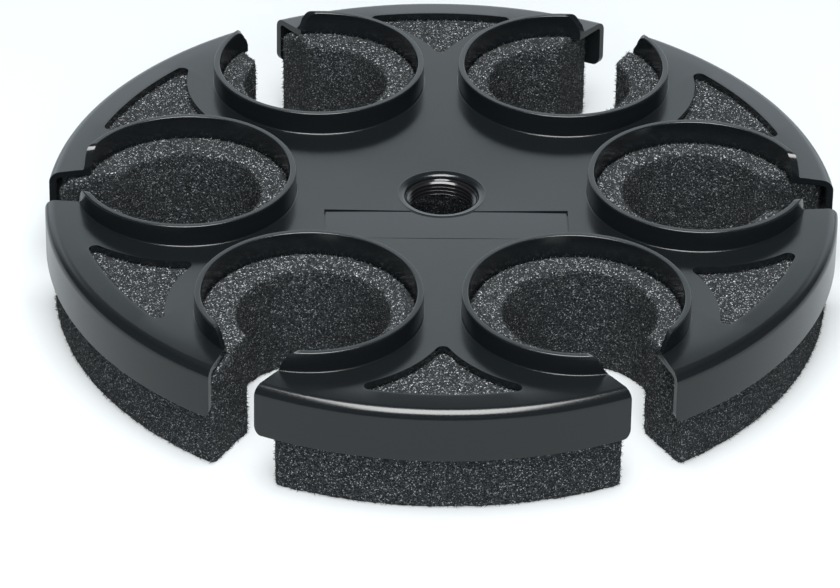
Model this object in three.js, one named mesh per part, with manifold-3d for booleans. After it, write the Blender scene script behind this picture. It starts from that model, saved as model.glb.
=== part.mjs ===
// A round tray that screws on a microphone stand and holds six microphones upright.
// Millimetres, +Z up, front = -Y. The origin is the centre of the foam pad's underside.
// The six cups lie on one pitch circle. Each has a foam-lined hole, a thin collar that
// is open to the outside, and a cable slot that runs from the hole to the tray's edge.
// The real tray is one moulding and the foam is one pad. Both are parted here into a
// middle and six arms, and the collars are parted from the deck.
import * as THREE from "three";
import { mergeVertices } from "three/addons/utils/BufferGeometryUtils.js";
import Module from "manifold-3d";

const wasm = await Module();
wasm.setup();

// Layout
const TRAY_R = 90.6;
const CUP_COUNT = 6;
const CUP_PITCH_R = 58.3;
const FIRST_CUP_ANGLE = 30;
const CUP_STEP = 360 / CUP_COUNT;
const RIM_Z = 30.7;
const GAP = 0.3;

// Tray moulding
const DECK_Z_AT_HUB = 24.9;
const DECK_Z_AT_EDGE = 25.95;
const DECK_SLOPE_START_R = 10;
const DECK_SLOPE_END_R = 88;
const DECK_THICKNESS = 1.6;
const EDGE_FILLET_R = 2.4;
const SKIRT_BOTTOM_Z = 13.5;
const SKIRT_WALL = 1.5;
const SKIRT_DRAFT = 0.2;
const SKIRT_CORNER_R = 2.4;
const TRAY_HUB_R = 36;

// Cable slots: this wide at the collar's ends, and narrower by SLOT_TAPER of that for
// each millimetre further out
const SLOT_HALF_WIDTH = 7;
const SLOT_FULL_WIDTH_R = 82.5;
const SLOT_TAPER = 0.023;

// Collars
const COLLAR_INNER_R = 23.6;
const COLLAR_WALL = 1.45;
const COLLAR_OUTER_R = COLLAR_INNER_R + COLLAR_WALL;
const COLLAR_FOOT_Z = 24.8;
const COLLAR_OPENING_AT_RIM = 10.2;
const COLLAR_CORNER_WIDTH = 2;
const COLLAR_CORNER_PULL = 0.8;
const COLLAR_CORNER_START_Z = 28.8;

// Windows in the deck, between the cups
const WINDOW_OUTER_R = 83.4;
const WINDOW_TO_CUP_R = 31.5;
const WINDOW_CORNER_R = 1.5;

// Hub, threaded insert and label
const HUB_LIP_R = 9.8;
const HUB_BORE_R = 8.3;
const HUB_LIP_DROP = 0.8;
const BOSS_R = 12;
const INSERT_R = 9.6;
const THREAD_MINOR_R = 7.5;
const INSERT_TOP_Z = 23.8;
const INSERT_BOTTOM_Z = 19.4;
const LABEL_LENGTH = 55;
const LABEL_WIDTH = 11.8;
const LABEL_THICKNESS = 0.25;
const LABEL_CENTRE_X = 1;
const LABEL_CENTRE_Y = -13.7;
const LABEL_TURN = 0.45;
const RECESS_DEPTH = 0.7;

// Foam pad and the adhesive film above it
const FOAM_R = 88.4;
const FOAM_HOLE_R = 17;
const FOAM_SLOT_HALF_WIDTH = 7.5;
const FOAM_CENTRE_HOLE_R = 13;
const FOAM_CORE_R = 43;
const FOAM_IN_CUP_R = COLLAR_INNER_R - GAP;
const FOAM_IN_CUP_Z = 25.5;
const FOAM_TURN = 1;
const FOAM_EDGE_BEVEL = 3;
const FILM_THICKNESS = 0.2;
const FILM_EDGE_MARGIN = 1;
const FILM_SLOT_MARGIN = 2;

const ROUND_STEPS = 72;
const CUP_STEPS = 48;
const SMALL_STEPS = 36;
const CORNER_STEPS = 3;
const FILM_STEPS = 24;
const POINT_SPACING = 0.01;
const CUT_OVERRUN = 1;
const RADIAL_OVERRUN = 5;
const FAR = 200;

const ARM_NAMES = ["front", "front_right", "back_right", "back", "back_left", "front_left"];
const CUP_NAMES = ["front_right", "right", "back_right", "back_left", "left", "front_left"];

const blackPlastic = { color: 0x17181a, roughness: 0.42, metalness: 0 };
const glossyInsert = { color: 0x0e0f10, roughness: 0.22, metalness: 0 };
const charcoalFoam = { color: 0x3a3d40, roughness: 1, metalness: 0 };
const clearFilm = { color: 0xb8b4a4, roughness: 0.6, metalness: 0 };
const labelPrint = { color: 0x1c1d1f, roughness: 0.3, metalness: 0 };

const radians = THREE.MathUtils.degToRad;

// Angles are measured from the front (-Y), positive towards the right (+X).
const cupAngle = (index) => FIRST_CUP_ANGLE + index * CUP_STEP;
const armAngle = (index) => index * CUP_STEP;
const onCircle = (radius, degrees) => ({
  x: radius * Math.sin(radians(degrees)),
  y: -radius * Math.cos(radians(degrees)),
});
const deckTop = (radius) =>
  THREE.MathUtils.mapLinear(
    THREE.MathUtils.clamp(radius, DECK_SLOPE_START_R, DECK_SLOPE_END_R),
    DECK_SLOPE_START_R,
    DECK_SLOPE_END_R,
    DECK_Z_AT_HUB,
    DECK_Z_AT_EDGE,
  );

// ---- Solids ----

function solid(geometry) {
  const bare = geometry.clone();
  bare.deleteAttribute("normal");
  bare.deleteAttribute("uv");
  const merged = mergeVertices(bare, 1e-4);
  return new wasm.Manifold(
    new wasm.Mesh({
      numProp: 3,
      vertProperties: merged.attributes.position.array,
      triVerts: new Uint32Array(merged.index.array),
    }),
  );
}

function geometryOf(manifold) {
  const mesh = manifold.getMesh();
  const geometry = new THREE.BufferGeometry();
  geometry.setAttribute("position", new THREE.BufferAttribute(mesh.vertProperties, 3));
  geometry.setIndex(new THREE.BufferAttribute(mesh.triVerts, 1));
  const flat = geometry.toNonIndexed();
  flat.computeVertexNormals();
  return flat;
}

// A profile of [radius, z] points, turned about Z.
function turned(profile, steps) {
  const points = profile.map(([radius, z]) => new THREE.Vector2(radius, z));
  return solid(new THREE.LatheGeometry(points, steps).rotateX(Math.PI / 2));
}

// An outline's curves as points, without the repeats where one curve meets the next.
function pushed(outline, depth, curveSteps) {
  const points = outline.getPoints(curveSteps);
  const apart = points.filter((point, index) => {
    const next = points[(index + 1) % points.length];
    return point.distanceTo(next) > POINT_SPACING;
  });
  return new THREE.ExtrudeGeometry(new THREE.Shape(apart), { depth, bevelEnabled: false });
}

function raised(outline, bottomZ, topZ, curveSteps) {
  return solid(pushed(outline, topZ - bottomZ, curveSteps).translate(0, 0, bottomZ));
}

function drum(radius, bottomZ, topZ, steps) {
  const profile = [
    [0, bottomZ],
    [radius, bottomZ],
    [radius, topZ],
    [0, topZ],
  ];
  return turned(profile, steps);
}

function cupDrum(index, radius, bottomZ, topZ, steps = CUP_STEPS) {
  const centre = onCircle(CUP_PITCH_R, cupAngle(index));
  return drum(radius, bottomZ, topZ, steps).translate([centre.x, centre.y, 0]);
}

function joined(solids) {
  return solids.reduce((sum, next) => sum.add(next));
}

function forEachCup(make) {
  return joined(CUP_NAMES.map((name, index) => make(index)));
}

// Narrows what was pushed outwards from startR by the slot's taper.
function tapered(geometry, startR, taper) {
  const position = geometry.attributes.position;
  for (let point = 0; point < position.count; point += 1) {
    const radius = startR + position.getZ(point);
    const share = 1 - taper * (radius - SLOT_FULL_WIDTH_R);
    position.setX(point, position.getX(point) * share);
  }
  return geometry;
}

// An outline in (across, z) pushed outwards along a cup's radial line.
function radialCutter(index, outline, fromR, toR, taper = SLOT_TAPER) {
  const geometry = tapered(pushed(outline, toR - fromR, CORNER_STEPS), fromR, taper);
  geometry.rotateX(Math.PI / 2);
  geometry.translate(0, -fromR, 0);
  geometry.rotateZ(radians(cupAngle(index)));
  return solid(geometry);
}

function sector(angle) {
  const left = onCircle(FAR, angle - CUP_STEP / 2);
  const middle = onCircle(FAR, angle);
  const right = onCircle(FAR, angle + CUP_STEP / 2);
  const shape = new THREE.Shape();
  shape.moveTo(0, 0);
  shape.lineTo(left.x, left.y);
  shape.lineTo(middle.x, middle.y);
  shape.lineTo(right.x, right.y);
  return raised(shape, -CUT_OVERRUN, RIM_Z + CUT_OVERRUN, 1);
}

// ---- Tray ----

function deckAndSkirtProfile() {
  const edgeZ = DECK_Z_AT_EDGE;
  const innerFilletR = EDGE_FILLET_R - SKIRT_WALL;
  const filletX = TRAY_R - SKIRT_DRAFT - EDGE_FILLET_R;
  const filletZ = edgeZ - EDGE_FILLET_R;
  const quarter = (radius, fromTop) =>
    Array.from({ length: CORNER_STEPS + 2 }, (unused, step) => {
      const turn = (step / (CORNER_STEPS + 1)) * (Math.PI / 2);
      const angle = fromTop ? Math.PI / 2 - turn : turn;
      return [filletX + radius * Math.cos(angle), filletZ + radius * Math.sin(angle)];
    });
  return [
    [0, DECK_Z_AT_HUB - DECK_THICKNESS],
    [DECK_SLOPE_START_R, DECK_Z_AT_HUB - DECK_THICKNESS],
    [filletX - innerFilletR, edgeZ - DECK_THICKNESS],
    ...quarter(innerFilletR, true).slice(1),
    [TRAY_R - SKIRT_WALL, SKIRT_BOTTOM_Z],
    [TRAY_R, SKIRT_BOTTOM_Z],
    ...quarter(EDGE_FILLET_R, false),
    [DECK_SLOPE_START_R, DECK_Z_AT_HUB],
    [0, DECK_Z_AT_HUB],
  ];
}

// The slot's outline flares at the skirt's lower corners, which are rounded.
function slotOutline() {
  const flareZ = SKIRT_BOTTOM_Z + SKIRT_CORNER_R;
  const flareX = SLOT_HALF_WIDTH + SKIRT_CORNER_R;
  const above = RIM_Z + CUT_OVERRUN;
  const below = SKIRT_BOTTOM_Z - CUT_OVERRUN;
  const shape = new THREE.Shape();
  shape.moveTo(-SLOT_HALF_WIDTH, above);
  shape.lineTo(-SLOT_HALF_WIDTH, flareZ);
  shape.absarc(-flareX, flareZ, SKIRT_CORNER_R, 0, -Math.PI / 2, true);
  shape.lineTo(-flareX, below);
  shape.lineTo(flareX, below);
  shape.absarc(flareX, flareZ, SKIRT_CORNER_R, -Math.PI / 2, -Math.PI, true);
  shape.lineTo(SLOT_HALF_WIDTH, above);
  return shape;
}

// Where two circles meet: the point to the left of the line from centre a to centre b.
function circlesMeet(a, radiusA, b, radiusB) {
  const between = new THREE.Vector2(b.x - a.x, b.y - a.y);
  const distance = between.length();
  const along = (radiusA ** 2 - radiusB ** 2 + distance ** 2) / (2 * distance);
  const aside = Math.sqrt(radiusA ** 2 - along ** 2);
  const unit = between.divideScalar(distance);
  return new THREE.Vector2(
    a.x + unit.x * along - unit.y * aside,
    a.y + unit.y * along + unit.x * aside,
  );
}

// A window's outline for the arm at angle 0, drawn with +Y outwards. Its sides follow
// the neighbouring cups and its long edge follows the tray's edge.
function windowOutline(growth) {
  const middle = { x: 0, y: 0 };
  const cup = { x: CUP_PITCH_R * 0.5, y: CUP_PITCH_R * Math.cos(radians(30)) };
  const sideR = WINDOW_TO_CUP_R - growth;
  const outerR = WINDOW_OUTER_R + growth;
  const cornerR = WINDOW_CORNER_R + growth;
  const apexY = cup.y + Math.sqrt((sideR + cornerR) ** 2 - cup.x ** 2);
  const corner = circlesMeet(middle, outerR - cornerR, cup, sideR + cornerR);
  const towards = (from, to) => Math.atan2(to.y - from.y, to.x - from.x);
  const apex = { x: 0, y: apexY };
  const leftCup = { x: -cup.x, y: cup.y };
  const leftCorner = { x: -corner.x, y: corner.y };
  const shape = new THREE.Shape();
  shape.absarc(0, apexY, cornerR, towards(apex, leftCup), towards(apex, cup), false);
  shape.absarc(cup.x, cup.y, sideR, towards(cup, apex), towards(cup, corner), true);
  shape.absarc(corner.x, corner.y, cornerR, towards(corner, cup), towards(middle, corner), false);
  shape.absarc(0, 0, outerR, towards(middle, corner), towards(middle, leftCorner), false);
  shape.absarc(
    leftCorner.x,
    leftCorner.y,
    cornerR,
    towards(middle, leftCorner),
    towards(leftCorner, leftCup),
    false,
  );
  shape.absarc(
    leftCup.x,
    leftCup.y,
    sideR,
    towards(leftCup, leftCorner),
    towards(leftCup, apex),
    true,
  );
  return shape;
}

function windowCutters(growth, steps) {
  return joined(
    ARM_NAMES.map((name, index) =>
      raised(windowOutline(growth), 0, RIM_Z, steps).rotate([0, 0, 180 + armAngle(index)]),
    ),
  );
}

function hubLipProfile() {
  const profile = [[0, 0]];
  profile.push([HUB_BORE_R, 0]);
  for (let step = 0; step <= CORNER_STEPS; step += 1) {
    const turn = (step / CORNER_STEPS) * (Math.PI / 2);
    const radius = HUB_LIP_R - (HUB_LIP_R - HUB_BORE_R) * Math.cos(turn);
    const z = DECK_Z_AT_HUB - HUB_LIP_DROP + HUB_LIP_DROP * Math.sin(turn);
    profile.push([radius, z]);
  }
  profile.push([HUB_LIP_R, RIM_Z]);
  profile.push([0, RIM_Z]);
  return profile;
}

function labelBlock(margin, bottomZ, topZ) {
  const length = LABEL_LENGTH + 2 * margin;
  const width = LABEL_WIDTH + 2 * margin;
  const box = new THREE.BoxGeometry(length, width, topZ - bottomZ);
  box.rotateZ(radians(LABEL_TURN));
  return solid(box.translate(LABEL_CENTRE_X, LABEL_CENTRE_Y, (topZ + bottomZ) / 2));
}

const recessFloorZ = DECK_Z_AT_HUB - RECESS_DEPTH;

function wholeTray() {
  const boss = drum(BOSS_R, INSERT_BOTTOM_Z, DECK_Z_AT_HUB - CUT_OVERRUN, SMALL_STEPS);
  const slotEndR = TRAY_R + RADIAL_OVERRUN;
  const recess = labelBlock(GAP, recessFloorZ, RIM_Z);
  const insertPocket = drum(INSERT_R + GAP, 0, INSERT_TOP_Z + GAP, SMALL_STEPS);
  return turned(deckAndSkirtProfile(), ROUND_STEPS)
    .add(boss)
    .subtract(recess)
    .subtract(turned(hubLipProfile(), SMALL_STEPS))
    .subtract(insertPocket)
    .subtract(forEachCup((index) => cupDrum(index, COLLAR_OUTER_R + GAP, 0, RIM_Z)))
    .subtract(forEachCup((index) => radialCutter(index, slotOutline(), CUP_PITCH_R, slotEndR)))
    .subtract(windowCutters(0, CORNER_STEPS * 2));
}

// ---- Collars ----

// The collar's opening widens upwards and its top corners are rounded.
function collarOpening() {
  const above = RIM_Z + CUT_OVERRUN;
  const below = COLLAR_FOOT_Z - CUT_OVERRUN;
  const rimX = COLLAR_OPENING_AT_RIM;
  const startX = rimX - COLLAR_CORNER_WIDTH;
  const pullX = rimX - COLLAR_CORNER_WIDTH + COLLAR_CORNER_PULL;
  const shape = new THREE.Shape();
  shape.moveTo(-SLOT_HALF_WIDTH, below);
  shape.lineTo(SLOT_HALF_WIDTH, below);
  shape.lineTo(SLOT_HALF_WIDTH, DECK_Z_AT_EDGE);
  shape.lineTo(startX, COLLAR_CORNER_START_Z);
  shape.quadraticCurveTo(pullX, RIM_Z, rimX, RIM_Z);
  shape.lineTo(rimX, above);
  shape.lineTo(-rimX, above);
  shape.lineTo(-rimX, RIM_Z);
  shape.quadraticCurveTo(-pullX, RIM_Z, -startX, COLLAR_CORNER_START_Z);
  shape.lineTo(-SLOT_HALF_WIDTH, DECK_Z_AT_EDGE);
  return shape;
}

function collar(index) {
  const ring = cupDrum(index, COLLAR_OUTER_R, COLLAR_FOOT_Z, RIM_Z);
  const bore = cupDrum(index, COLLAR_INNER_R, 0, RIM_Z + CUT_OVERRUN);
  return ring
    .subtract(bore)
    .subtract(radialCutter(index, collarOpening(), CUP_PITCH_R, TRAY_R));
}

// ---- Insert, label, film ----

function threadedInsert() {
  const profile = [
    [THREAD_MINOR_R, INSERT_BOTTOM_Z],
    [INSERT_R, INSERT_BOTTOM_Z],
    [INSERT_R, INSERT_TOP_Z],
    [THREAD_MINOR_R, INSERT_TOP_Z],
    [THREAD_MINOR_R, INSERT_BOTTOM_Z],
  ];
  return turned(profile, SMALL_STEPS);
}

function labelPlate() {
  const bottom = recessFloorZ + GAP;
  const corner = drum(HUB_LIP_R + GAP, 0, RIM_Z, SMALL_STEPS);
  return labelBlock(0, bottom, bottom + LABEL_THICKNESS).subtract(corner);
}

// A film that follows the deck's underside, from dropTop to dropBottom below its top.
function underDeckFilm(innerR, outerR, dropTop, dropBottom) {
  const slopeStart = Math.max(innerR, DECK_SLOPE_START_R);
  const profile = [
    [innerR, deckTop(slopeStart) - dropBottom],
    [outerR, deckTop(outerR) - dropBottom],
    [outerR, deckTop(outerR) - dropTop],
    [innerR, deckTop(slopeStart) - dropTop],
    [innerR, deckTop(slopeStart) - dropBottom],
  ];
  return turned(profile, FILM_STEPS * 2);
}

const filmDrop = DECK_THICKNESS + GAP;
const foamDrop = filmDrop + FILM_THICKNESS + GAP;

function foamSlotOutline(halfWidth) {
  const shape = new THREE.Shape();
  shape.moveTo(-halfWidth, -CUT_OVERRUN);
  shape.lineTo(halfWidth, -CUT_OVERRUN);
  shape.lineTo(halfWidth, RIM_Z);
  shape.lineTo(-halfWidth, RIM_Z);
  return shape;
}

function adhesiveFilm() {
  const edgeR = FOAM_R - FOAM_EDGE_BEVEL;
  const slot = foamSlotOutline(FOAM_SLOT_HALF_WIDTH + FILM_SLOT_MARGIN);
  const cupR = COLLAR_OUTER_R + FILM_EDGE_MARGIN;
  const filmBottom = filmDrop + FILM_THICKNESS;
  return underDeckFilm(FOAM_CENTRE_HOLE_R, edgeR, filmDrop, filmBottom)
    .subtract(forEachCup((index) => cupDrum(index, cupR, 0, RIM_Z, FILM_STEPS)))
    .subtract(forEachCup((index) => radialCutter(index, slot, CUP_PITCH_R, TRAY_R, 0)))
    .subtract(windowCutters(FILM_EDGE_MARGIN, 2));
}

// ---- Foam ----

function foamDisc() {
  const topZ = (radius) => deckTop(radius) - foamDrop;
  const profile = [
    [FOAM_CENTRE_HOLE_R, 0],
    [FOAM_R, 0],
    [FOAM_R, topZ(FOAM_R) - FOAM_EDGE_BEVEL],
    [FOAM_R - FOAM_EDGE_BEVEL, topZ(FOAM_R)],
    [FOAM_CENTRE_HOLE_R, topZ(FOAM_CENTRE_HOLE_R)],
    [FOAM_CENTRE_HOLE_R, 0],
  ];
  return turned(profile, ROUND_STEPS);
}

// The foam fills each cup up to the deck's level, and the pad sits a little turned.
function wholeFoam() {
  const fills = forEachCup((index) => cupDrum(index, FOAM_IN_CUP_R, SKIRT_BOTTOM_Z, FOAM_IN_CUP_Z));
  const outline = foamSlotOutline(FOAM_SLOT_HALF_WIDTH);
  const slotEndR = TRAY_R + RADIAL_OVERRUN;
  const cutOuts = forEachCup((index) =>
    cupDrum(index, FOAM_HOLE_R, -CUT_OVERRUN, RIM_Z).add(
      radialCutter(index, outline, CUP_PITCH_R, slotEndR, 0),
    ),
  );
  return foamDisc().add(fills).subtract(cutOuts.rotate([0, 0, FOAM_TURN]));
}

// ---- Assembly ----

const tray = new THREE.Group();

function place(name, manifold, look) {
  const mesh = new THREE.Mesh(geometryOf(manifold), new THREE.MeshStandardMaterial(look));
  mesh.name = name;
  tray.add(mesh);
}

// Parts a whole piece into its middle, inside middleR, and its six arms.
function placeMiddleAndArms(middleName, armName, whole, middleR, look, turn) {
  const inside = drum(middleR, -CUT_OVERRUN, RIM_Z, ROUND_STEPS);
  place(middleName, whole.intersect(inside), look);
  const outside = whole.subtract(drum(middleR + GAP, -CUT_OVERRUN, RIM_Z, ROUND_STEPS));
  ARM_NAMES.forEach((name, index) => {
    place(`${armName}_${name}`, outside.intersect(sector(armAngle(index) + turn)), look);
  });
}

placeMiddleAndArms("tray_hub", "tray_arm", wholeTray(), TRAY_HUB_R, blackPlastic, 0);
CUP_NAMES.forEach((name, index) => place(`collar_${name}`, collar(index), blackPlastic));
place("threaded_insert", threadedInsert(), glossyInsert);
place("label_plate", labelPlate(), labelPrint);
place("adhesive_film", adhesiveFilm(), clearFilm);
placeMiddleAndArms("foam_core", "foam_arm", wholeFoam(), FOAM_CORE_R, charcoalFoam, FOAM_TURN);

export default tray;
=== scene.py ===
"""A foam-lined tray that screws on a microphone stand and holds six microphones upright.

The tray moulding, the stand thread, the blank label and the foam pad are modelled here, in
metres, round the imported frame. Lengths in the constants below are millimetres.
"""

import math
import random

import bmesh
import bpy
from mathutils import Matrix, Vector, noise


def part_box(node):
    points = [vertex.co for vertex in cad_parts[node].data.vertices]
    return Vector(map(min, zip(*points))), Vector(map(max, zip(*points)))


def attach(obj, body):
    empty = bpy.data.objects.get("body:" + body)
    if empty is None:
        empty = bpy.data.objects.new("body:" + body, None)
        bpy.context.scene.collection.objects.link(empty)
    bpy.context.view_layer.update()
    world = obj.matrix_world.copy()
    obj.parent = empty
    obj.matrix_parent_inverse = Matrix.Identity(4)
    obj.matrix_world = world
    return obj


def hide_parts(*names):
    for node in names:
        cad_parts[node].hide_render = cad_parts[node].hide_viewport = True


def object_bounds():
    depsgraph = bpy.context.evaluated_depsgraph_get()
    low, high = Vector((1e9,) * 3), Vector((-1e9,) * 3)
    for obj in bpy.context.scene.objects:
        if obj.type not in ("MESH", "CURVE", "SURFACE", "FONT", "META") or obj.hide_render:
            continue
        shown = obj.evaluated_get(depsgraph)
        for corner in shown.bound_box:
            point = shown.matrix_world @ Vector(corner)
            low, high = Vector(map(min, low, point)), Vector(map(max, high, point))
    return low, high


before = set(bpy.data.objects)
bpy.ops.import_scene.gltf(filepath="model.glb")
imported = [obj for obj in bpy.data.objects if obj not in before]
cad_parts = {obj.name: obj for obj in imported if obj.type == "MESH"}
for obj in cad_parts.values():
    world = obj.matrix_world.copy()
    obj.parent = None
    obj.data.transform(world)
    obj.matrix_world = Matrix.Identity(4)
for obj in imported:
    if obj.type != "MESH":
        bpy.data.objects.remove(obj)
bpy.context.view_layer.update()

MM = 0.001

# ---- Sizes read from the frame ----
_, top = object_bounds()
RIM_Z = top.z / MM
TRAY_R = top.y / MM
collar_low, collar_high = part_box("collar_left")
COLLAR_OUTER_R = (collar_high.y - collar_low.y) / 2 / MM
CUP_PITCH_R = COLLAR_OUTER_R - collar_high.x / MM
insert_low, insert_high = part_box("threaded_insert")
INSERT_R = insert_high.x / MM
INSERT_TOP_Z = insert_high.z / MM
INSERT_BOTTOM_Z = insert_low.z / MM
foam_low, foam_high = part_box("foam_arm_front")
FOAM_R = -foam_low.y / MM
FOAM_IN_CUP_Z = foam_high.z / MM

# ---- Sizes of the visible detail ----
CUP_ANGLES = [30 + 60 * index for index in range(6)]
ARM_ANGLES = [60 * index for index in range(6)]
ARM_NAMES = ["front", "front_right", "back_right", "back", "back_left", "front_left"]
CUP_NAMES = ["front_right", "right", "back_right", "back_left", "left", "front_left"]
DECK_Z_AT_HUB, DECK_Z_AT_EDGE = 24.9, 25.95
DECK_THICKNESS = 1.6
BAND_DROOP = 0.2
EDGE_FILLET_R = 2.5
SKIRT_WALL, SKIRT_BOTTOM_Z, SKIRT_CORNER_R, SKIRT_DRAFT = 1.5, 13.5, 2.4, 0.1
SKIRT_FOOT_R = 0.3
BAND_START_GAP = 0.8
SLOT_HALF_WIDTH, SLOT_FULL_WIDTH_R, SLOT_TAPER = 7.0, 82.5, 0.023
COLLAR_WALL = 1.45
COLLAR_INNER_R = COLLAR_OUTER_R - COLLAR_WALL
COLLAR_OPENING_AT_RIM, COLLAR_CORNER_START_Z = 10.2, 28.8
COLLAR_CORNER_WIDTH, COLLAR_CORNER_PULL = 2, 0.8
COLLAR_RIM_ROUND, COLLAR_FOOT_ROUND, COLLAR_FOOT_BAND = 0.3, 0.4, 0.7
WINDOW_OUTER_R, WINDOW_TO_CUP_R, WINDOW_CORNER_R = 83.4, 31.5, 1.5
HUB_LIP_R, HUB_BORE_R, HUB_LIP_DROP = 9.8, 8.3, 0.8
HUB_BEAD_HEIGHT, HUB_BEAD_BACK_HEIGHT, HUB_BEAD_WIDTH = 0.06, 0.05, 0.4
HUB_BEAD_CLEARANCE = 0.7
BOSS_R, BOSS_CHAMFER, INSERT_SEAT_GAP = 12.0, 0.8, 0.25
LABEL_LENGTH, LABEL_WIDTH, LABEL_TURN = 55.0, 11.8, 0.45
LABEL_CENTRE_X, LABEL_CENTRE_Y = 1.0, -13.7
LABEL_SINK, LABEL_THICKNESS = 0.08, 0.3
LABEL_RISE, LABEL_TILT = 0.05, 0.0134
LABEL_RECESS_GAP, LABEL_EDGE_GAP = 0.15, 0.12
THREAD_MAJOR_R, THREAD_MINOR_R, THREAD_PITCH = 7.94, 7.45, 0.9407
THREAD_LEAD, THREAD_ROOT_OVERLAP, INSERT_CHAMFER = 0.5, 0.06, 0.25
FOAM_HOLE_R, FOAM_SLOT_HALF_WIDTH, FOAM_CENTRE_HOLE_R = 17.0, 7.5, 13.0
FOAM_TURN, FOAM_TOP_GAP, FOAM_TO_COLLAR_GAP = 1.0, 2.1, 0.25
FOAM_BULGE, FOAM_FOOT_BEVEL, FOAM_TOP_BEVEL = 0.3, 0.5, 3
FOAM_EDGE_ROUND, FOAM_NECK_ROUND, FOAM_MOUTH_ROUND = 4.8, 1.2, 1.2
FOAM_CELL, FOAM_CELL_WHEN_QUICK = 0.6, 1.2
STRUT_DENSITY, STRUT_DENSITY_WHEN_QUICK = 2.6, 0.3

ROUND_STEPS = 240
CUP_STEPS = 128
HUB_STEPS = 96
THREAD_STEPS_PER_TURN = 64
CUT_TOP_Z = 40

CAMERA_AZIMUTH, CAMERA_ELEVATION, CAMERA_ROLL = -0.415, 32.745, 0.842
CAMERA_DISTANCE_IN_PITCHES = 15.3386
AIM_IN_PITCHES = (-0.0857, -0.8857)


# ---- Camera ----

def add_camera():
    """A long lens, a third of a right angle above the tray, a little off square."""
    azimuth, elevation = math.radians(CAMERA_AZIMUTH), math.radians(CAMERA_ELEVATION)
    distance = CAMERA_DISTANCE_IN_PITCHES * CUP_PITCH_R * MM
    across, forward = AIM_IN_PITCHES
    aim = Vector((across * CUP_PITCH_R * MM, forward * CUP_PITCH_R * MM, RIM_Z * MM))
    back = Vector((
        math.sin(azimuth) * math.cos(elevation),
        -math.cos(azimuth) * math.cos(elevation),
        math.sin(elevation),
    ))
    data = bpy.data.cameras.new("camera")
    data.sensor_width = 36
    data.lens = 176.19
    data.clip_start, data.clip_end = 0.05, 20
    camera = bpy.data.objects.new("camera", data)
    bpy.context.scene.collection.objects.link(camera)
    turn = back.to_track_quat("Z", "Y").to_matrix().to_4x4()
    roll = Matrix.Rotation(math.radians(CAMERA_ROLL), 4, "Z")
    camera.matrix_world = Matrix.Translation(aim + back * distance) @ turn @ roll
    bpy.context.scene.camera = camera


add_camera()


# ---- Mesh helpers, in millimetres until a piece is finished ----

def on_circle(radius, degrees):
    """A point at an angle from the front (-Y), positive towards the right (+X)."""
    turn = math.radians(degrees)
    return Vector((radius * math.sin(turn), -radius * math.cos(turn), 0))


def deck_top(radius):
    """The height of the slightly dished deck, which rises from the hub lip to its edge."""
    deck_edge_r = TRAY_R - SKIRT_DRAFT - EDGE_FILLET_R
    share = min(max((radius - HUB_LIP_R) / (deck_edge_r - HUB_LIP_R), 0), 1)
    return DECK_Z_AT_HUB + share * (DECK_Z_AT_EDGE - DECK_Z_AT_HUB)


def arc(centre, radius, start, end, steps):
    """Points on an arc, angles in degrees."""
    points = []
    for step in range(steps + 1):
        angle = math.radians(start + (end - start) * step / steps)
        points.append((centre[0] + radius * math.cos(angle), centre[1] + radius * math.sin(angle)))
    return points


def without_repeats(points, spacing=0.01):
    """The points with neighbours closer than the spacing taken as one."""
    kept = []
    for point in points:
        if not kept or (Vector(point) - Vector(kept[-1])).length > spacing:
            kept.append(point)
    if (Vector(kept[0]) - Vector(kept[-1])).length <= spacing:
        kept.pop()
    return kept


def as_object(bm, name):
    mesh = bpy.data.meshes.new(name)
    bm.to_mesh(mesh)
    bm.free()
    made = bpy.data.objects.new(name, mesh)
    bpy.context.scene.collection.objects.link(made)
    return made


def turned(profile, steps, name):
    """A closed outline of (radius, z) points, spun round the tray's axis into a solid ring."""
    bm = bmesh.new()
    verts = [bm.verts.new((radius, 0, z)) for radius, z in without_repeats(profile)]
    edges = [bm.edges.new((verts[i - 1], verts[i])) for i in range(len(verts))]
    bmesh.ops.spin(
        bm, geom=verts + edges, cent=(0, 0, 0), axis=(0, 0, 1),
        angle=2 * math.pi, steps=steps, use_merge=True,
    )
    bmesh.ops.remove_doubles(bm, verts=bm.verts, dist=1e-4)
    bmesh.ops.recalc_face_normals(bm, faces=bm.faces)
    return as_object(bm, name)


def raised(outline, low, high, name):
    """A flat outline of (x, y) points, pushed up from low to high."""
    bm = bmesh.new()
    face = bm.faces.new([bm.verts.new((x, y, low)) for x, y in without_repeats(outline)])
    pushed = bmesh.ops.extrude_face_region(bm, geom=[face])
    moved = [v for v in pushed["geom"] if isinstance(v, bmesh.types.BMVert)]
    bmesh.ops.translate(bm, verts=moved, vec=(0, 0, high - low))
    bmesh.ops.recalc_face_normals(bm, faces=bm.faces)
    return as_object(bm, name)


def radial_prism(outline, degrees, from_r, to_r, name):
    """An outline of (across, z) points, pushed outwards along one cup's radial line. It
    narrows outwards as the slots do."""
    prism = raised(outline, from_r, to_r, name)
    for vertex in prism.data.vertices:
        vertex.co.x *= 1 - SLOT_TAPER * (vertex.co.z - SLOT_FULL_WIDTH_R)
    stand_up = Matrix.Rotation(math.radians(90), 4, "X")
    prism.data.transform(Matrix.Rotation(math.radians(degrees), 4, "Z") @ stand_up)
    return prism


def moved_to_cup(piece, degrees):
    piece.data.transform(Matrix.Translation(on_circle(CUP_PITCH_R, degrees)))
    return piece


def joined(pieces):
    """Several objects as one object, with their meshes side by side."""
    bm = bmesh.new()
    for piece in pieces:
        bm.from_mesh(piece.data)
    name = pieces[0].name
    for piece in pieces:
        mesh = piece.data
        bpy.data.objects.remove(piece)
        bpy.data.meshes.remove(mesh)
    return as_object(bm, name)


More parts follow.
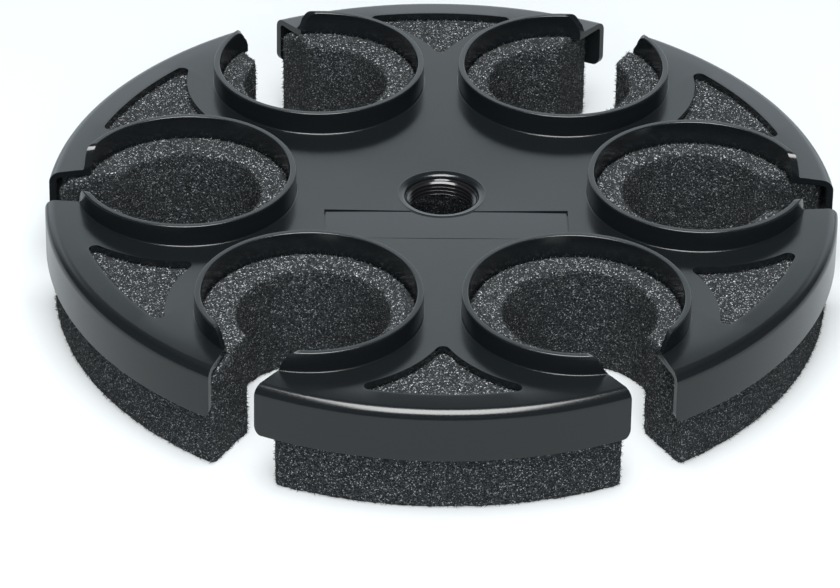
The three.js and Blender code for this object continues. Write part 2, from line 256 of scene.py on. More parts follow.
def apply_modifiers(piece):
    """Replaces a piece's mesh with what its modifiers make of it."""
    graph = bpy.context.evaluated_depsgraph_get()
    graph.update()
    mesh = bpy.data.meshes.new_from_object(piece.evaluated_get(graph))
    piece.modifiers.clear()
    old = piece.data
    piece.data = mesh
    bpy.data.meshes.remove(old)
    return piece


def combine(piece, others, operation):
    """Joins or cuts a piece with each of the others in turn."""
    for other in others:
        step = piece.modifiers.new("combine", "BOOLEAN")
        step.operation = operation
        step.solver = "MANIFOLD"
        step.object = other
        apply_modifiers(piece)
        mesh = other.data
        bpy.data.objects.remove(other)
        bpy.data.meshes.remove(mesh)
    return piece


def finish_piece(piece, nodes, material):
    """Brings a piece from millimetres to metres and ties it to the frame."""
    piece.data.transform(Matrix.Scale(MM, 4))
    piece.data.materials.clear()
    piece.data.materials.append(material)
    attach(piece, "root")
    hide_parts(*nodes)
    return piece


def smooth_with_creases(piece, degrees):
    piece.data.shade_smooth()
    piece.data.set_sharp_from_angle(angle=math.radians(degrees))


# ---- Outlines ----

def deck_outline():
    """The moulding's half section: hub lip and its bead, deck, rounded edge, skirt,
    underside and boss."""
    edge_x = TRAY_R - SKIRT_DRAFT - EDGE_FILLET_R
    edge_z = DECK_Z_AT_EDGE - BAND_DROOP - EDGE_FILLET_R
    lip_bottom = DECK_Z_AT_HUB - HUB_LIP_DROP
    lip = []
    for step in range(7):
        turn = math.radians(90 * step / 6)
        lip.append((
            HUB_LIP_R - (HUB_LIP_R - HUB_BORE_R) * math.cos(turn),
            lip_bottom + HUB_LIP_DROP * math.sin(turn),
        ))
    under = DECK_Z_AT_EDGE - DECK_THICKNESS
    foot_z = SKIRT_BOTTOM_Z + SKIRT_FOOT_R
    inner_r = EDGE_FILLET_R - SKIRT_WALL
    boss_top_z = deck_top(BOSS_R) - DECK_THICKNESS
    return [
        *lip,
        (HUB_LIP_R + 0.3 * HUB_BEAD_WIDTH, DECK_Z_AT_HUB + HUB_BEAD_HEIGHT),
        (HUB_LIP_R + 0.7 * HUB_BEAD_WIDTH, DECK_Z_AT_HUB + HUB_BEAD_BACK_HEIGHT),
        (HUB_LIP_R + HUB_BEAD_WIDTH, DECK_Z_AT_HUB),
        (WINDOW_OUTER_R + BAND_START_GAP, DECK_Z_AT_EDGE),
        *arc((edge_x, edge_z), EDGE_FILLET_R, 88, 0, 12),
        *arc((TRAY_R - SKIRT_FOOT_R, foot_z), SKIRT_FOOT_R, 0, -90, 2),
        *arc((TRAY_R - SKIRT_WALL + SKIRT_FOOT_R, foot_z), SKIRT_FOOT_R, -90, -180, 2),
        *arc((edge_x, under - inner_r), inner_r, 0, 90, 5),
        (BOSS_R + BOSS_CHAMFER, boss_top_z),
        (BOSS_R, boss_top_z - BOSS_CHAMFER),
        (BOSS_R, INSERT_BOTTOM_Z),
        (INSERT_R, INSERT_BOTTOM_Z),
        (INSERT_R, lip_bottom - INSERT_SEAT_GAP),
        (HUB_BORE_R, lip_bottom - INSERT_SEAT_GAP),
    ]


def opening_outline():
    """The cable slot: rounded skirt corners below, the collar's widening opening above."""
    flare_z, flare_x = SKIRT_BOTTOM_Z + SKIRT_CORNER_R, SLOT_HALF_WIDTH + SKIRT_CORNER_R
    past = 2
    right = [(flare_x, SKIRT_BOTTOM_Z - past)]
    right += arc((flare_x, flare_z), SKIRT_CORNER_R, -90, -180, 8)
    right.append((SLOT_HALF_WIDTH, DECK_Z_AT_EDGE + 0.1))
    knee_x = COLLAR_OPENING_AT_RIM - COLLAR_CORNER_WIDTH
    knee = Vector((knee_x, COLLAR_CORNER_START_Z))
    control = Vector((knee_x + COLLAR_CORNER_PULL, RIM_Z))
    end = Vector((COLLAR_OPENING_AT_RIM, RIM_Z))
    for step in range(7):
        t = step / 6
        point = (1 - t) ** 2 * knee + 2 * t * (1 - t) * control + t ** 2 * end
        right.append(tuple(point))
    right.append((COLLAR_OPENING_AT_RIM + 0.6, RIM_Z + past))
    left = [(-x, z) for x, z in reversed(right)]
    return right + left


def window_outline():
    """A three-sided window, drawn with +Y outwards: two cup-side arcs and one edge arc."""
    cup = Vector((CUP_PITCH_R * 0.5, CUP_PITCH_R * math.cos(math.radians(30))))
    near, far = WINDOW_TO_CUP_R + WINDOW_CORNER_R, WINDOW_OUTER_R - WINDOW_CORNER_R
    apex = Vector((0, cup.y + math.sqrt(near ** 2 - cup.x ** 2)))
    distance = cup.length
    along = (far ** 2 - near ** 2 + distance ** 2) / (2 * distance)
    aside = math.sqrt(far ** 2 - along ** 2)
    unit = cup / distance
    corner = Vector((unit.x * along - unit.y * aside, unit.y * along + unit.x * aside))

    def heading(start, end):
        return math.degrees(math.atan2(end.y - start.y, end.x - start.x))

    outward = heading(Vector((0, 0)), corner)
    right = arc(apex, WINDOW_CORNER_R, -90, heading(apex, cup), 5)
    right += arc(cup, WINDOW_TO_CUP_R, heading(cup, apex), heading(cup, corner), 20)
    right += arc(corner, WINDOW_CORNER_R, heading(corner, cup), outward, 10)
    right += arc((0, 0), WINDOW_OUTER_R, outward, 90, 12)
    left = [(-x, y) for x, y in reversed(right)]
    return right + left


def collar_outline():
    """The collar's wall: a rounded rim, and a small foot fillet that spreads on the deck."""
    base = deck_top(CUP_PITCH_R)
    root_z = base - DECK_THICKNESS + 0.1
    rim, foot = COLLAR_RIM_ROUND, COLLAR_FOOT_ROUND
    foot_arc = arc((COLLAR_OUTER_R + foot, base + foot), foot, 180, 262, 4)
    return [
        (COLLAR_INNER_R, root_z),
        (COLLAR_OUTER_R + foot, root_z),
        *reversed(foot_arc),
        *arc((COLLAR_OUTER_R - rim, RIM_Z - rim), rim, 0, 90, 4),
        *arc((COLLAR_INNER_R + rim, RIM_Z - rim), rim, 90, 180, 4),
    ]


# ---- Tray moulding ----

def collar(degrees):
    """A full collar ring whose foot follows the deck's slight dish."""
    ring = moved_to_cup(turned(collar_outline(), CUP_STEPS, "collar_ring"), degrees)
    base = deck_top(CUP_PITCH_R)
    for vertex in ring.data.vertices:
        if vertex.co.z < base + COLLAR_FOOT_BAND:
            vertex.co.z += deck_top(vertex.co.to_2d().length) - base
    return ring


def label_block(margin, low, high, name):
    """The label's oblong, grown by a margin, turned and tilted with the deck."""
    half_x, half_y = LABEL_LENGTH / 2 + margin, LABEL_WIDTH / 2 + margin
    corners = [(-half_x, -half_y), (half_x, -half_y), (half_x, half_y), (-half_x, half_y)]
    block = raised(corners, low, high, name)
    for vertex in block.data.vertices:
        vertex.co.z += LABEL_RISE - LABEL_TILT * vertex.co.y
    turn = Matrix.Rotation(math.radians(LABEL_TURN), 4, "Z")
    block.data.transform(Matrix.Translation((LABEL_CENTRE_X, LABEL_CENTRE_Y, 0)) @ turn)
    return block


def hub_guard(name):
    """A round post that keeps the label and its recess off the hub lip."""
    post_r, centre_r = HUB_LIP_R + HUB_BEAD_CLEARANCE, 0.01
    section = [(centre_r, 0), (post_r, 0), (post_r, CUT_TOP_Z), (centre_r, CUT_TOP_Z)]
    return turned(section, HUB_STEPS, name)


def build_tray(material):
    """The whole moulding: deck and skirt, cut for cups, windows and label, with its collars,
    and then cut for the cable slots."""
    tray = turned(deck_outline(), ROUND_STEPS, "tray_moulding")
    holes = []
    for degrees in CUP_ANGLES:
        hole_r = (COLLAR_INNER_R + COLLAR_OUTER_R) / 2
        outline = arc((0, 0), hole_r, 0, 360, CUP_STEPS)
        holes.append(moved_to_cup(raised(outline, 15, CUT_TOP_Z, "cup_hole"), degrees))
    for degrees in ARM_ANGLES:
        window = raised(window_outline(), 20, CUT_TOP_Z, "window_cutter")
        window.data.transform(Matrix.Rotation(math.radians(180 + degrees), 4, "Z"))
        holes.append(window)
    recess_floor = DECK_Z_AT_HUB - LABEL_SINK - LABEL_THICKNESS
    recess = label_block(LABEL_RECESS_GAP, recess_floor, CUT_TOP_Z, "recess_cutter")
    holes.append(combine(recess, [hub_guard("hub_guard")], "DIFFERENCE"))
    combine(tray, holes, "DIFFERENCE")
    combine(tray, [collar(degrees) for degrees in CUP_ANGLES], "UNION")
    openings = [
        radial_prism(opening_outline(), degrees, CUP_PITCH_R, TRAY_R + 6, "slot_cutter")
        for degrees in CUP_ANGLES
    ]
    combine(tray, openings, "DIFFERENCE")
    soften_edges(tray, 0.2, 34)
    nodes = ["tray_hub"] + ["tray_arm_" + name for name in ARM_NAMES]
    nodes += ["collar_" + name for name in CUP_NAMES]
    return finish_piece(tray, nodes, material)


def soften_edges(piece, width, degrees):
    """Rounds the cut edges of a moulding as its mould does."""
    bm = bmesh.new()
    bm.from_mesh(piece.data)
    bmesh.ops.remove_doubles(bm, verts=bm.verts, dist=0.02)
    bmesh.ops.dissolve_degenerate(bm, dist=0.02, edges=bm.edges)
    limit = math.radians(degrees)
    sharp = [e for e in bm.edges if e.is_manifold and e.calc_face_angle(0) > limit]
    bmesh.ops.bevel(
        bm, geom=sharp, offset=width, offset_type="OFFSET", affect="EDGES",
        segments=2, profile=0.5, material=-1, clamp_overlap=True,
    )
    bm.to_mesh(piece.data)
    bm.free()
    smooth_with_creases(piece, 38)
    weighted = piece.modifiers.new("even_shading", "WEIGHTED_NORMAL")
    weighted.keep_sharp = True
    return apply_modifiers(piece)


# ---- Stand thread ----

def build_thread(material):
    """The bush in the hub: a ring with a lead-in, and its helical ridge."""
    outer_r = INSERT_R - 0.1
    ring_section = [
        (THREAD_MAJOR_R, INSERT_BOTTOM_Z + THREAD_LEAD),
        (THREAD_MAJOR_R + THREAD_LEAD, INSERT_BOTTOM_Z),
        (outer_r - 0.2, INSERT_BOTTOM_Z),
        (outer_r, INSERT_BOTTOM_Z + 0.2),
        (outer_r, INSERT_TOP_Z),
        (THREAD_MAJOR_R + INSERT_CHAMFER, INSERT_TOP_Z),
        (THREAD_MAJOR_R, INSERT_TOP_Z - INSERT_CHAMFER),
    ]
    ring = turned(ring_section, HUB_STEPS, "stand_thread")
    turns = (INSERT_TOP_Z - INSERT_BOTTOM_Z - THREAD_PITCH) / THREAD_PITCH
    root_r = THREAD_MAJOR_R + THREAD_ROOT_OVERLAP
    half = THREAD_PITCH * 0.42
    crest = THREAD_PITCH * 0.08
    section = [(root_r, -half), (THREAD_MINOR_R, -crest), (THREAD_MINOR_R, crest), (root_r, half)]
    bm = bmesh.new()
    start_z = INSERT_BOTTOM_Z + half + 0.1
    face = bm.faces.new([bm.verts.new((radius, 0, start_z + z)) for radius, z in section])
    steps = int(turns * THREAD_STEPS_PER_TURN)
    bmesh.ops.spin(
        bm, geom=[face], cent=(0, 0, 0), axis=(0, 0, 1),
        dvec=(0, 0, THREAD_PITCH * turns / steps), angle=2 * math.pi * turns, steps=steps,
    )
    bmesh.ops.recalc_face_normals(bm, faces=bm.faces)
    thread = joined([ring, as_object(bm, "thread_ridge")])
    smooth_with_creases(thread, 35)
    return finish_piece(thread, ["threaded_insert"], material)


# ---- Label ----

def build_label(material):
    """A blank plate in the recess, with a rounded edge."""
    floor_z = DECK_Z_AT_HUB - LABEL_SINK - LABEL_THICKNESS + 0.02
    label = label_block(-LABEL_EDGE_GAP, floor_z, floor_z + LABEL_THICKNESS, "label_blank")
    combine(label, [hub_guard("label_guard")], "DIFFERENCE")
    soften_edges(label, 0.2, 50)
    return finish_piece(label, ["label_plate"], material)


# ---- Foam pad ----

def foam_outline():
    """The pad's half section. It bulges a little below the skirt."""
    edge_z = deck_top(FOAM_R) - FOAM_TOP_GAP
    bulge_r = FOAM_R + FOAM_BULGE
    return [
        (FOAM_CENTRE_HOLE_R, 0),
        (bulge_r - FOAM_FOOT_BEVEL, 0),
        (bulge_r, FOAM_FOOT_BEVEL),
        (bulge_r, SKIRT_BOTTOM_Z - 2),
        (FOAM_R, SKIRT_BOTTOM_Z),
        (FOAM_R, edge_z - FOAM_TOP_BEVEL),
        (FOAM_R - FOAM_TOP_BEVEL, edge_z),
        (FOAM_CENTRE_HOLE_R, deck_top(FOAM_CENTRE_HOLE_R) - FOAM_TOP_GAP),
    ]


def keyhole_outline():
    """A cup's round hole and its slot, drawn with the tray's edge towards -Y. Where the
    slot leaves the hole and where it meets the edge, the cut foam's corners are rounded."""
    half, round_r, mouth_r = FOAM_SLOT_HALF_WIDTH, FOAM_NECK_ROUND, FOAM_MOUTH_ROUND
    past = 6
    reach = FOAM_HOLE_R + round_r
    neck_y = -math.sqrt(reach ** 2 - (half + round_r) ** 2)
    neck = Vector((half + round_r, neck_y))
    into_hole = math.degrees(math.atan2(-neck.y, -neck.x))
    hole_start = math.degrees(math.atan2(neck.y, neck.x))
    edge_y = -math.sqrt(FOAM_R ** 2 - half ** 2) + CUP_PITCH_R
    right = [(half + past, edge_y - past), (half + mouth_r, edge_y - 1.5)]
    right += arc((half + mouth_r, edge_y + mouth_r * 0.75), mouth_r, -90, -180, 5)
    right += arc(neck, round_r, 180, into_hole, 5)
    right += arc((0, 0), FOAM_HOLE_R, hole_start, 90, 24)
    left = [(-x, y) for x, y in reversed(right)]
    return right + left


def build_foam(material):
    """The pad: a disc with raised rounds that fill the collars, cut through by keyholes."""
    pad = turned(foam_outline(), ROUND_STEPS, "foam_pad")
    fills = []
    fill_r = COLLAR_INNER_R - FOAM_TO_COLLAR_GAP
    for degrees in CUP_ANGLES:
        outline = arc((0, 0), fill_r, 0, 360, CUP_STEPS)
        fills.append(moved_to_cup(raised(outline, 10, FOAM_IN_CUP_Z, "cup_fill"), degrees))
    combine(pad, fills, "UNION")
    cuts = []
    for degrees in CUP_ANGLES:
        cut = raised(keyhole_outline(), -5, CUT_TOP_Z, "keyhole_cutter")
        cut.data.transform(Matrix.Translation((0, -CUP_PITCH_R, 0)))
        cut.data.transform(Matrix.Rotation(math.radians(degrees + FOAM_TURN), 4, "Z"))
        cuts.append(cut)
    combine(pad, cuts, "DIFFERENCE")
    round_foam_edges(pad)
    voxels = pad.modifiers.new("even_cells", "REMESH")
    voxels.mode = "VOXEL"
    voxels.voxel_size = FOAM_CELL
    soft = pad.modifiers.new("soft_edges", "SMOOTH")
    soft.iterations = 4
    apply_modifiers(pad)
    roughen(pad)
    grow_struts(pad)
    pad.data.shade_smooth()
    nodes = ["foam_core"] + ["foam_arm_" + name for name in ARM_NAMES]
    pad = finish_piece(pad, nodes, material)
    return pad


def round_foam_edges(pad):
    """Cut foam has soft edges: the holes' edges in the collars are worked round."""
    bm = bmesh.new()
    bm.from_mesh(pad.data)
    bmesh.ops.remove_doubles(bm, verts=bm.verts, dist=0.05)
    limit = math.radians(60)
    edges = []
    for edge in bm.edges:
        if not edge.is_manifold or edge.calc_face_angle(0) < limit:
            continue
        low_z, high_z = sorted(vertex.co.z for vertex in edge.verts)
        if high_z - low_z < 0.3 and low_z > FOAM_IN_CUP_Z - 0.2:
            edges.append(edge)
    bmesh.ops.bevel(
        bm, geom=edges, offset=FOAM_EDGE_ROUND, offset_type="OFFSET", affect="EDGES",
        segments=5, profile=0.5, material=-1, clamp_overlap=True,
    )
    bm.to_mesh(pad.data)
    bm.free()


def roughen(pad):
    """Open cells leave an uneven surface: each point moves along its normal a little."""
    chance = random.Random(11)
    bm = bmesh.new()
    bm.from_mesh(pad.data)
    bm.normal_update()
    moves = []
    for vertex in bm.verts:
        depth = 0.1 * noise.noise(vertex.co * 1.1) + 0.08 * noise.noise(vertex.co * 0.16)
        moves.append(vertex.normal * (depth + chance.uniform(-0.1, 0.1)))
    for vertex, move in zip(bm.verts, moves):
        vertex.co += move
        vertex.co.z = max(vertex.co.z, 0)
    bm.to_mesh(pad.data)
    bm.free()


def grow_struts(pad):
    """Covers the pad, but for its underside, with the broken struts of cut open cells."""
    group = bpy.data.node_groups.new("broken_struts", "GeometryNodeTree")
    face = group.interface
    face.new_socket("Geometry", in_out="INPUT", socket_type="NodeSocketGeometry")
    face.new_socket("Geometry", in_out="OUTPUT", socket_type="NodeSocketGeometry")
    nodes, links = group.nodes, group.links
    given, out = nodes.new("NodeGroupInput"), nodes.new("NodeGroupOutput")
    spread = nodes.new("GeometryNodeDistributePointsOnFaces")
    density = STRUT_DENSITY
    spread.inputs["Density"].default_value = density
    spread.inputs["Seed"].default_value = 5
    normal = nodes.new("GeometryNodeInputNormal")
    split = nodes.new("ShaderNodeSeparateXYZ")
    not_underneath = nodes.new("FunctionNodeCompare")
    not_underneath.operation = "GREATER_THAN"
    not_underneath.inputs["B"].default_value = -0.6
    strut = nodes.new("GeometryNodeMeshCone")
    strut.inputs["Vertices"].default_value = 3
    strut.inputs["Radius Top"].default_value = 0
    strut.inputs["Radius Bottom"].default_value = 0.1
    strut.inputs["Depth"].default_value = 0.95
    strut.fill_type = "NONE"
    lean = nodes.new("FunctionNodeRandomValue")
    lean.data_type = "FLOAT_VECTOR"
    lean.inputs["Min"].default_value = (-1.0, -1.0, -3.1)
    lean.inputs["Max"].default_value = (1.0, 1.0, 3.1)
    lean.inputs["Seed"].default_value = 2
    tilt = nodes.new("FunctionNodeRotateRotation")
    tilt.rotation_space = "LOCAL"
    length = nodes.new("FunctionNodeRandomValue")
    length.inputs[2].default_value = 0.35
    length.inputs[3].default_value = 1.0
    stand = nodes.new("GeometryNodeInstanceOnPoints")
    solid = nodes.new("GeometryNodeRealizeInstances")
    both = nodes.new("GeometryNodeJoinGeometry")
    links.new(given.outputs[0], spread.inputs["Mesh"])
    links.new(normal.outputs[0], split.inputs[0])
    links.new(split.outputs["Z"], not_underneath.inputs["A"])
    links.new(not_underneath.outputs[0], spread.inputs["Selection"])
    links.new(spread.outputs["Points"], stand.inputs["Points"])
    links.new(strut.outputs["Mesh"], stand.inputs["Instance"])
    links.new(spread.outputs["Rotation"], tilt.inputs["Rotation"])
    links.new(lean.outputs[0], tilt.inputs["Rotate By"])
    links.new(tilt.outputs[0], stand.inputs["Rotation"])
    links.new(length.outputs[1], stand.inputs["Scale"])
    links.new(stand.outputs[0], solid.inputs[0])
    links.new(given.outputs[0], both.inputs[0])
    links.new(solid.outputs[0], both.inputs[0])
    links.new(both.outputs[0], out.inputs[0])
    struts = pad.modifiers.new("broken_struts", "NODES")
    struts.node_group = group
    apply_modifiers(pad)


# ---- Materials ----

def new_material(name):
    """A material with its nodes, its links and its shader."""
    material = bpy.data.materials.new(name)
    material.use_nodes = True
    nodes = material.node_tree.nodes
    shader = nodes["Principled BSDF"]
    return material, nodes, material.node_tree.links, shader


def mould_grain_group():
    """Fine mould texture: a height for bump, and a slow mottle for roughness."""
    group = bpy.data.node_groups.new("mould_grain", "ShaderNodeTree")
    face = group.interface
    face.new_socket("Scale", in_out="INPUT", socket_type="NodeSocketFloat")
    face.new_socket("Base Roughness", in_out="INPUT", socket_type="NodeSocketFloat")
    face.new_socket("Roughness Spread", in_out="INPUT", socket_type="NodeSocketFloat")
    face.new_socket("Height", in_out="OUTPUT", socket_type="NodeSocketFloat")
    face.new_socket("Roughness", in_out="OUTPUT", socket_type="NodeSocketFloat")
    nodes, links = group.nodes, group.links
    given = nodes.new("NodeGroupInput")
    out = nodes.new("NodeGroupOutput")
    place = nodes.new("ShaderNodeTexCoord")
    fine = nodes.new("ShaderNodeTexNoise")
    fine.inputs["Detail"].default_value = 3
    slow = nodes.new("ShaderNodeTexNoise")
    slow.inputs["Scale"].default_value = 60
    slow.inputs["Detail"].default_value = 2
    spread = nodes.new("ShaderNodeMath")
    spread.operation = "MULTIPLY_ADD"
    centred = nodes.new("ShaderNodeMath")
    centred.operation = "SUBTRACT"
    centred.inputs[1].default_value = 0.5
    links.new(place.outputs["Object"], fine.inputs["Vector"])
    links.new(place.outputs["Object"], slow.inputs["Vector"])
    links.new(given.outputs["Scale"], fine.inputs["Scale"])
    links.new(fine.outputs["Fac"], out.inputs["Height"])
    links.new(slow.outputs["Fac"], centred.inputs[0])
    links.new(centred.outputs[0], spread.inputs[0])
    links.new(given.outputs["Roughness Spread"], spread.inputs[1])
    links.new(given.outputs["Base Roughness"], spread.inputs[2])
    links.new(spread.outputs[0], out.inputs["Roughness"])
    return group


mould_grain = mould_grain_group()


def plastic(name, colour, roughness, spread, grain_scale, grain_depth):
    """A moulded plastic with a fine grain."""
    material, nodes, links, shader = new_material(name)
    grain = nodes.new("ShaderNodeGroup")
    grain.node_tree = mould_grain
    grain.inputs["Scale"].default_value = grain_scale
    grain.inputs["Base Roughness"].default_value = roughness
    grain.inputs["Roughness Spread"].default_value = spread
    bump = nodes.new("ShaderNodeBump")
    bump.inputs["Strength"].default_value = 0.25
    bump.inputs["Distance"].default_value = grain_depth
    links.new(grain.outputs["Height"], bump.inputs["Height"])
    links.new(bump.outputs["Normal"], shader.inputs["Normal"])
    links.new(grain.outputs["Roughness"], shader.inputs["Roughness"])
    shader.inputs["Base Color"].default_value = (*colour, 1)
    shader.inputs["IOR"].default_value = 1.5
    return material


def foam_material():
    """Open-cell foam: fine struts, with painted shade darkening the cells between them, and
    painted glints in the colour, more of them where it faces up.
    """
    material, nodes, links, shader = new_material("charcoal_foam")
    place = nodes.new("ShaderNodeTexCoord")
    cells = nodes.new("ShaderNodeTexVoronoi")
    cells.feature = "DISTANCE_TO_EDGE"
    cells.inputs["Scale"].default_value = 1500
    struts = nodes.new("ShaderNodeMapRange")
    struts.inputs["From Min"].default_value = 0.0
    struts.inputs["From Max"].default_value = 0.28
    struts.inputs["To Min"].default_value = 1
    struts.inputs["To Max"].default_value = 0
    fine = nodes.new("ShaderNodeTexNoise")
    fine.inputs["Scale"].default_value = 2600
    fine.inputs["Detail"].default_value = 2
    broken = nodes.new("ShaderNodeMapRange")
    broken.inputs["From Min"].default_value = 0.35
    broken.inputs["From Max"].default_value = 0.65
    patch = nodes.new("ShaderNodeMath")
    patch.operation = "MULTIPLY"
    # Painted highlight: a few tiny cells are painted almost white as glints.
    facets = nodes.new("ShaderNodeTexVoronoi")
    facets.inputs["Scale"].default_value = 4200
    split = nodes.new("ShaderNodeSeparateColor")
    glint = nodes.new("ShaderNodeMapRange")
    glint.inputs["From Min"].default_value = 0.86
    glint.inputs["From Max"].default_value = 1.0
    shape = nodes.new("ShaderNodeNewGeometry")
    axes = nodes.new("ShaderNodeSeparateXYZ")
    # Painted highlight: the painted glints are made stronger where the surface faces up, as if lit
    # from above.
    facing = nodes.new("ShaderNodeMapRange")
    facing.inputs["From Min"].default_value = 0.0
    facing.inputs["From Max"].default_value = 1.0
    facing.inputs["To Min"].default_value = 0.25
    facing.inputs["To Max"].default_value = 0.54
    painted_glint_mask = nodes.new("ShaderNodeMath")
    painted_glint_mask.operation = "MULTIPLY"
    # Painted shade: the cells between the struts are darkened in the colour, standing in for the
    # shade inside the open pores.
    pore_shade_mix = nodes.new("ShaderNodeMix")
    pore_shade_mix.data_type = "RGBA"
    pore_shade_mix.inputs["A"].default_value = (0.0048, 0.0062, 0.0070, 1)
    pore_shade_mix.inputs["B"].default_value = (0.0405, 0.0482, 0.0525, 1)
    # Mixes the painted glint colour into the foam's colour.
    lit = nodes.new("ShaderNodeMix")
    lit.data_type = "RGBA"
    lit.inputs["B"].default_value = (0.78, 0.83, 0.86, 1)
    bump = nodes.new("ShaderNodeBump")
    bump.inputs["Strength"].default_value = 0.8
    bump.inputs["Distance"].default_value = 0.0003
    links.new(place.outputs["Object"], cells.inputs["Vector"])
    links.new(place.outputs["Object"], fine.inputs["Vector"])
    links.new(place.outputs["Object"], facets.inputs["Vector"])
    links.new(cells.outputs["Distance"], struts.inputs["Value"])
    links.new(fine.outputs["Fac"], broken.inputs["Value"])
    links.new(struts.outputs["Result"], patch.inputs[0])
    links.new(broken.outputs["Result"], patch.inputs[1])
    links.new(patch.outputs[0], pore_shade_mix.inputs["Factor"])
    links.new(facets.outputs["Color"], split.inputs["Color"])
    links.new(split.outputs["Red"], glint.inputs["Value"])
    links.new(shape.outputs["Normal"], axes.inputs[0])
    links.new(axes.outputs["Z"], facing.inputs["Value"])
    links.new(glint.outputs["Result"], painted_glint_mask.inputs[0])
    links.new(facing.outputs["Result"], painted_glint_mask.inputs[1])
    links.new(painted_glint_mask.outputs[0], lit.inputs["Factor"])
    links.new(pore_shade_mix.outputs["Result"], lit.inputs["A"])
    links.new(lit.outputs["Result"], shader.inputs["Base Color"])
    links.new(struts.outputs["Result"], bump.inputs["Height"])
    links.new(bump.outputs["Normal"], shader.inputs["Normal"])
    shader.inputs["Roughness"].default_value = 0.8
    shader.inputs["Specular IOR Level"].default_value = 0.35
    return material


def film_material():
    """The pale film between the deck and the pad."""
    material, nodes, links, shader = new_material("clear_film")
    place = nodes.new("ShaderNodeTexCoord")
    mottle = nodes.new("ShaderNodeTexNoise")
    mottle.inputs["Scale"].default_value = 220
    span = nodes.new("ShaderNodeMapRange")
    span.inputs["To Min"].default_value = 0.45
    span.inputs["To Max"].default_value = 0.7
    links.new(place.outputs["Object"], mottle.inputs["Vector"])
    links.new(mottle.outputs["Fac"], span.inputs["Value"])
    links.new(span.outputs["Result"], shader.inputs["Roughness"])
    shader.inputs["Base Color"].default_value = (0.5, 0.48, 0.42, 1)
    return material


# ---- Pieces ----

build_tray(plastic("satin_black_plastic", (0.0043, 0.0056, 0.0064), 0.21, 0.05, 3800, 0.00003))
build_thread(plastic("glossy_black_plastic", (0.008, 0.008, 0.009), 0.16, 0.04, 1600, 0.00002))
build_label(plastic("label_black", (0.0047, 0.006, 0.0068), 0.19, 0.03, 5200, 0.00002))
build_foam(foam_material())
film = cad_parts["adhesive_film"]
film.data.materials.clear()
film.data.materials.append(film_material())


# ---- Floor, backdrop and light ----

def add_floor():
    """A pale floor that glows a little, but not in the part's gloss."""
    bm = bmesh.new()
    bmesh.ops.create_grid(bm, x_segments=1, y_segments=1, size=4)
    floor = as_object(bm, "floor")
    material, nodes, links, shader = new_material("white_floor")
    shader.inputs["Base Color"].default_value = (0.325, 0.35, 0.36, 1)
    shader.inputs["Roughness"].default_value = 0.8
    path = nodes.new("ShaderNodeLightPath")
    glow = nodes.new("ShaderNodeMath")
    glow.operation = "MULTIPLY_ADD"
    glow.inputs[1].default_value = -0.27
    glow.inputs[2].default_value = 0.27
    links.new(path.outputs["Is Glossy Ray"], glow.inputs[0])
    links.new(glow.outputs[0], shader.inputs["Emission Strength"])
    shader.inputs["Emission Color"].default_value = (1, 1, 1, 1)
    floor.data.materials.append(material)


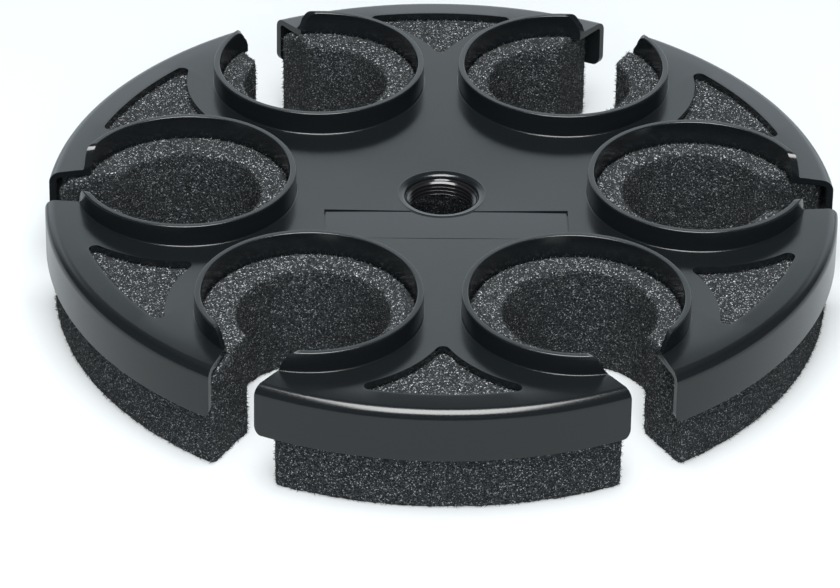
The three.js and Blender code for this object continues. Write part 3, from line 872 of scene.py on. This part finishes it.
def add_world():
    """White to the eye. The part sees a white backdrop behind it and a dark room in front."""
    world = bpy.data.worlds.new("studio")
    bpy.context.scene.world = world
    world.use_nodes = True
    nodes, links = world.node_tree.nodes, world.node_tree.links
    nodes.clear()
    out = nodes.new("ShaderNodeOutputWorld")
    white = nodes.new("ShaderNodeBackground")
    white.inputs["Color"].default_value = (1, 1, 1, 1)
    white.inputs["Strength"].default_value = 1
    room = nodes.new("ShaderNodeBackground")
    room.inputs["Color"].default_value = (0.87, 0.97, 1.02, 1)
    place = nodes.new("ShaderNodeTexCoord")
    axes = nodes.new("ShaderNodeSeparateXYZ")
    height = nodes.new("ShaderNodeMapRange")
    height.interpolation_type = "SMOOTHSTEP"
    height.inputs["From Min"].default_value = 0.52
    height.inputs["From Max"].default_value = 0.62
    height.inputs["To Min"].default_value = 1.5
    height.inputs["To Max"].default_value = 0.04
    behind = nodes.new("ShaderNodeMapRange")
    behind.interpolation_type = "SMOOTHSTEP"
    behind.inputs["From Min"].default_value = 0.55
    behind.inputs["From Max"].default_value = 0.85
    behind.inputs["To Min"].default_value = 0.06
    behind.inputs["To Max"].default_value = 1.0
    flat = nodes.new("ShaderNodeVectorMath")
    flat.operation = "MULTIPLY"
    flat.inputs[1].default_value = (1, 1, 0)
    bearing = nodes.new("ShaderNodeVectorMath")
    bearing.operation = "NORMALIZE"
    ahead = nodes.new("ShaderNodeSeparateXYZ")
    strength = nodes.new("ShaderNodeMath")
    strength.operation = "MULTIPLY"
    path = nodes.new("ShaderNodeLightPath")
    to_eye = nodes.new("ShaderNodeMixShader")
    links.new(place.outputs["Generated"], flat.inputs[0])
    links.new(flat.outputs[0], bearing.inputs[0])
    links.new(bearing.outputs[0], ahead.inputs["Vector"])
    links.new(place.outputs["Generated"], axes.inputs["Vector"])
    links.new(axes.outputs["Z"], height.inputs["Value"])
    links.new(ahead.outputs["Y"], behind.inputs["Value"])
    links.new(height.outputs["Result"], strength.inputs[0])
    links.new(behind.outputs["Result"], strength.inputs[1])
    links.new(strength.outputs[0], room.inputs["Strength"])
    links.new(path.outputs["Is Camera Ray"], to_eye.inputs["Fac"])
    links.new(room.outputs[0], to_eye.inputs[1])
    links.new(white.outputs[0], to_eye.inputs[2])
    links.new(to_eye.outputs[0], out.inputs["Surface"])


def add_lamp(name, place, aim, size_x, size_y, watts, in_gloss=True):
    """An oblong lamp aimed at a point."""
    data = bpy.data.lights.new(name, "AREA")
    data.shape = "RECTANGLE"
    data.size, data.size_y = size_x, size_y
    data.energy = watts
    lamp = bpy.data.objects.new(name, data)
    lamp.location = place
    lamp.rotation_euler = (Vector(aim) - Vector(place)).to_track_quat("-Z", "Y").to_euler()
    lamp.visible_glossy = in_gloss
    bpy.context.scene.collection.objects.link(lamp)


add_floor()
add_world()
add_lamp("overhead_softbox", (0, -0.25, 0.9), (0, -0.25, 0), 0.55, 0.75, 19)
add_lamp("front_fill", (0, -1.2, 0.7), (0, 0, 0.01), 1.0, 0.6, 20, in_gloss=False)

bpy.context.scene.view_settings.view_transform = "Standard"
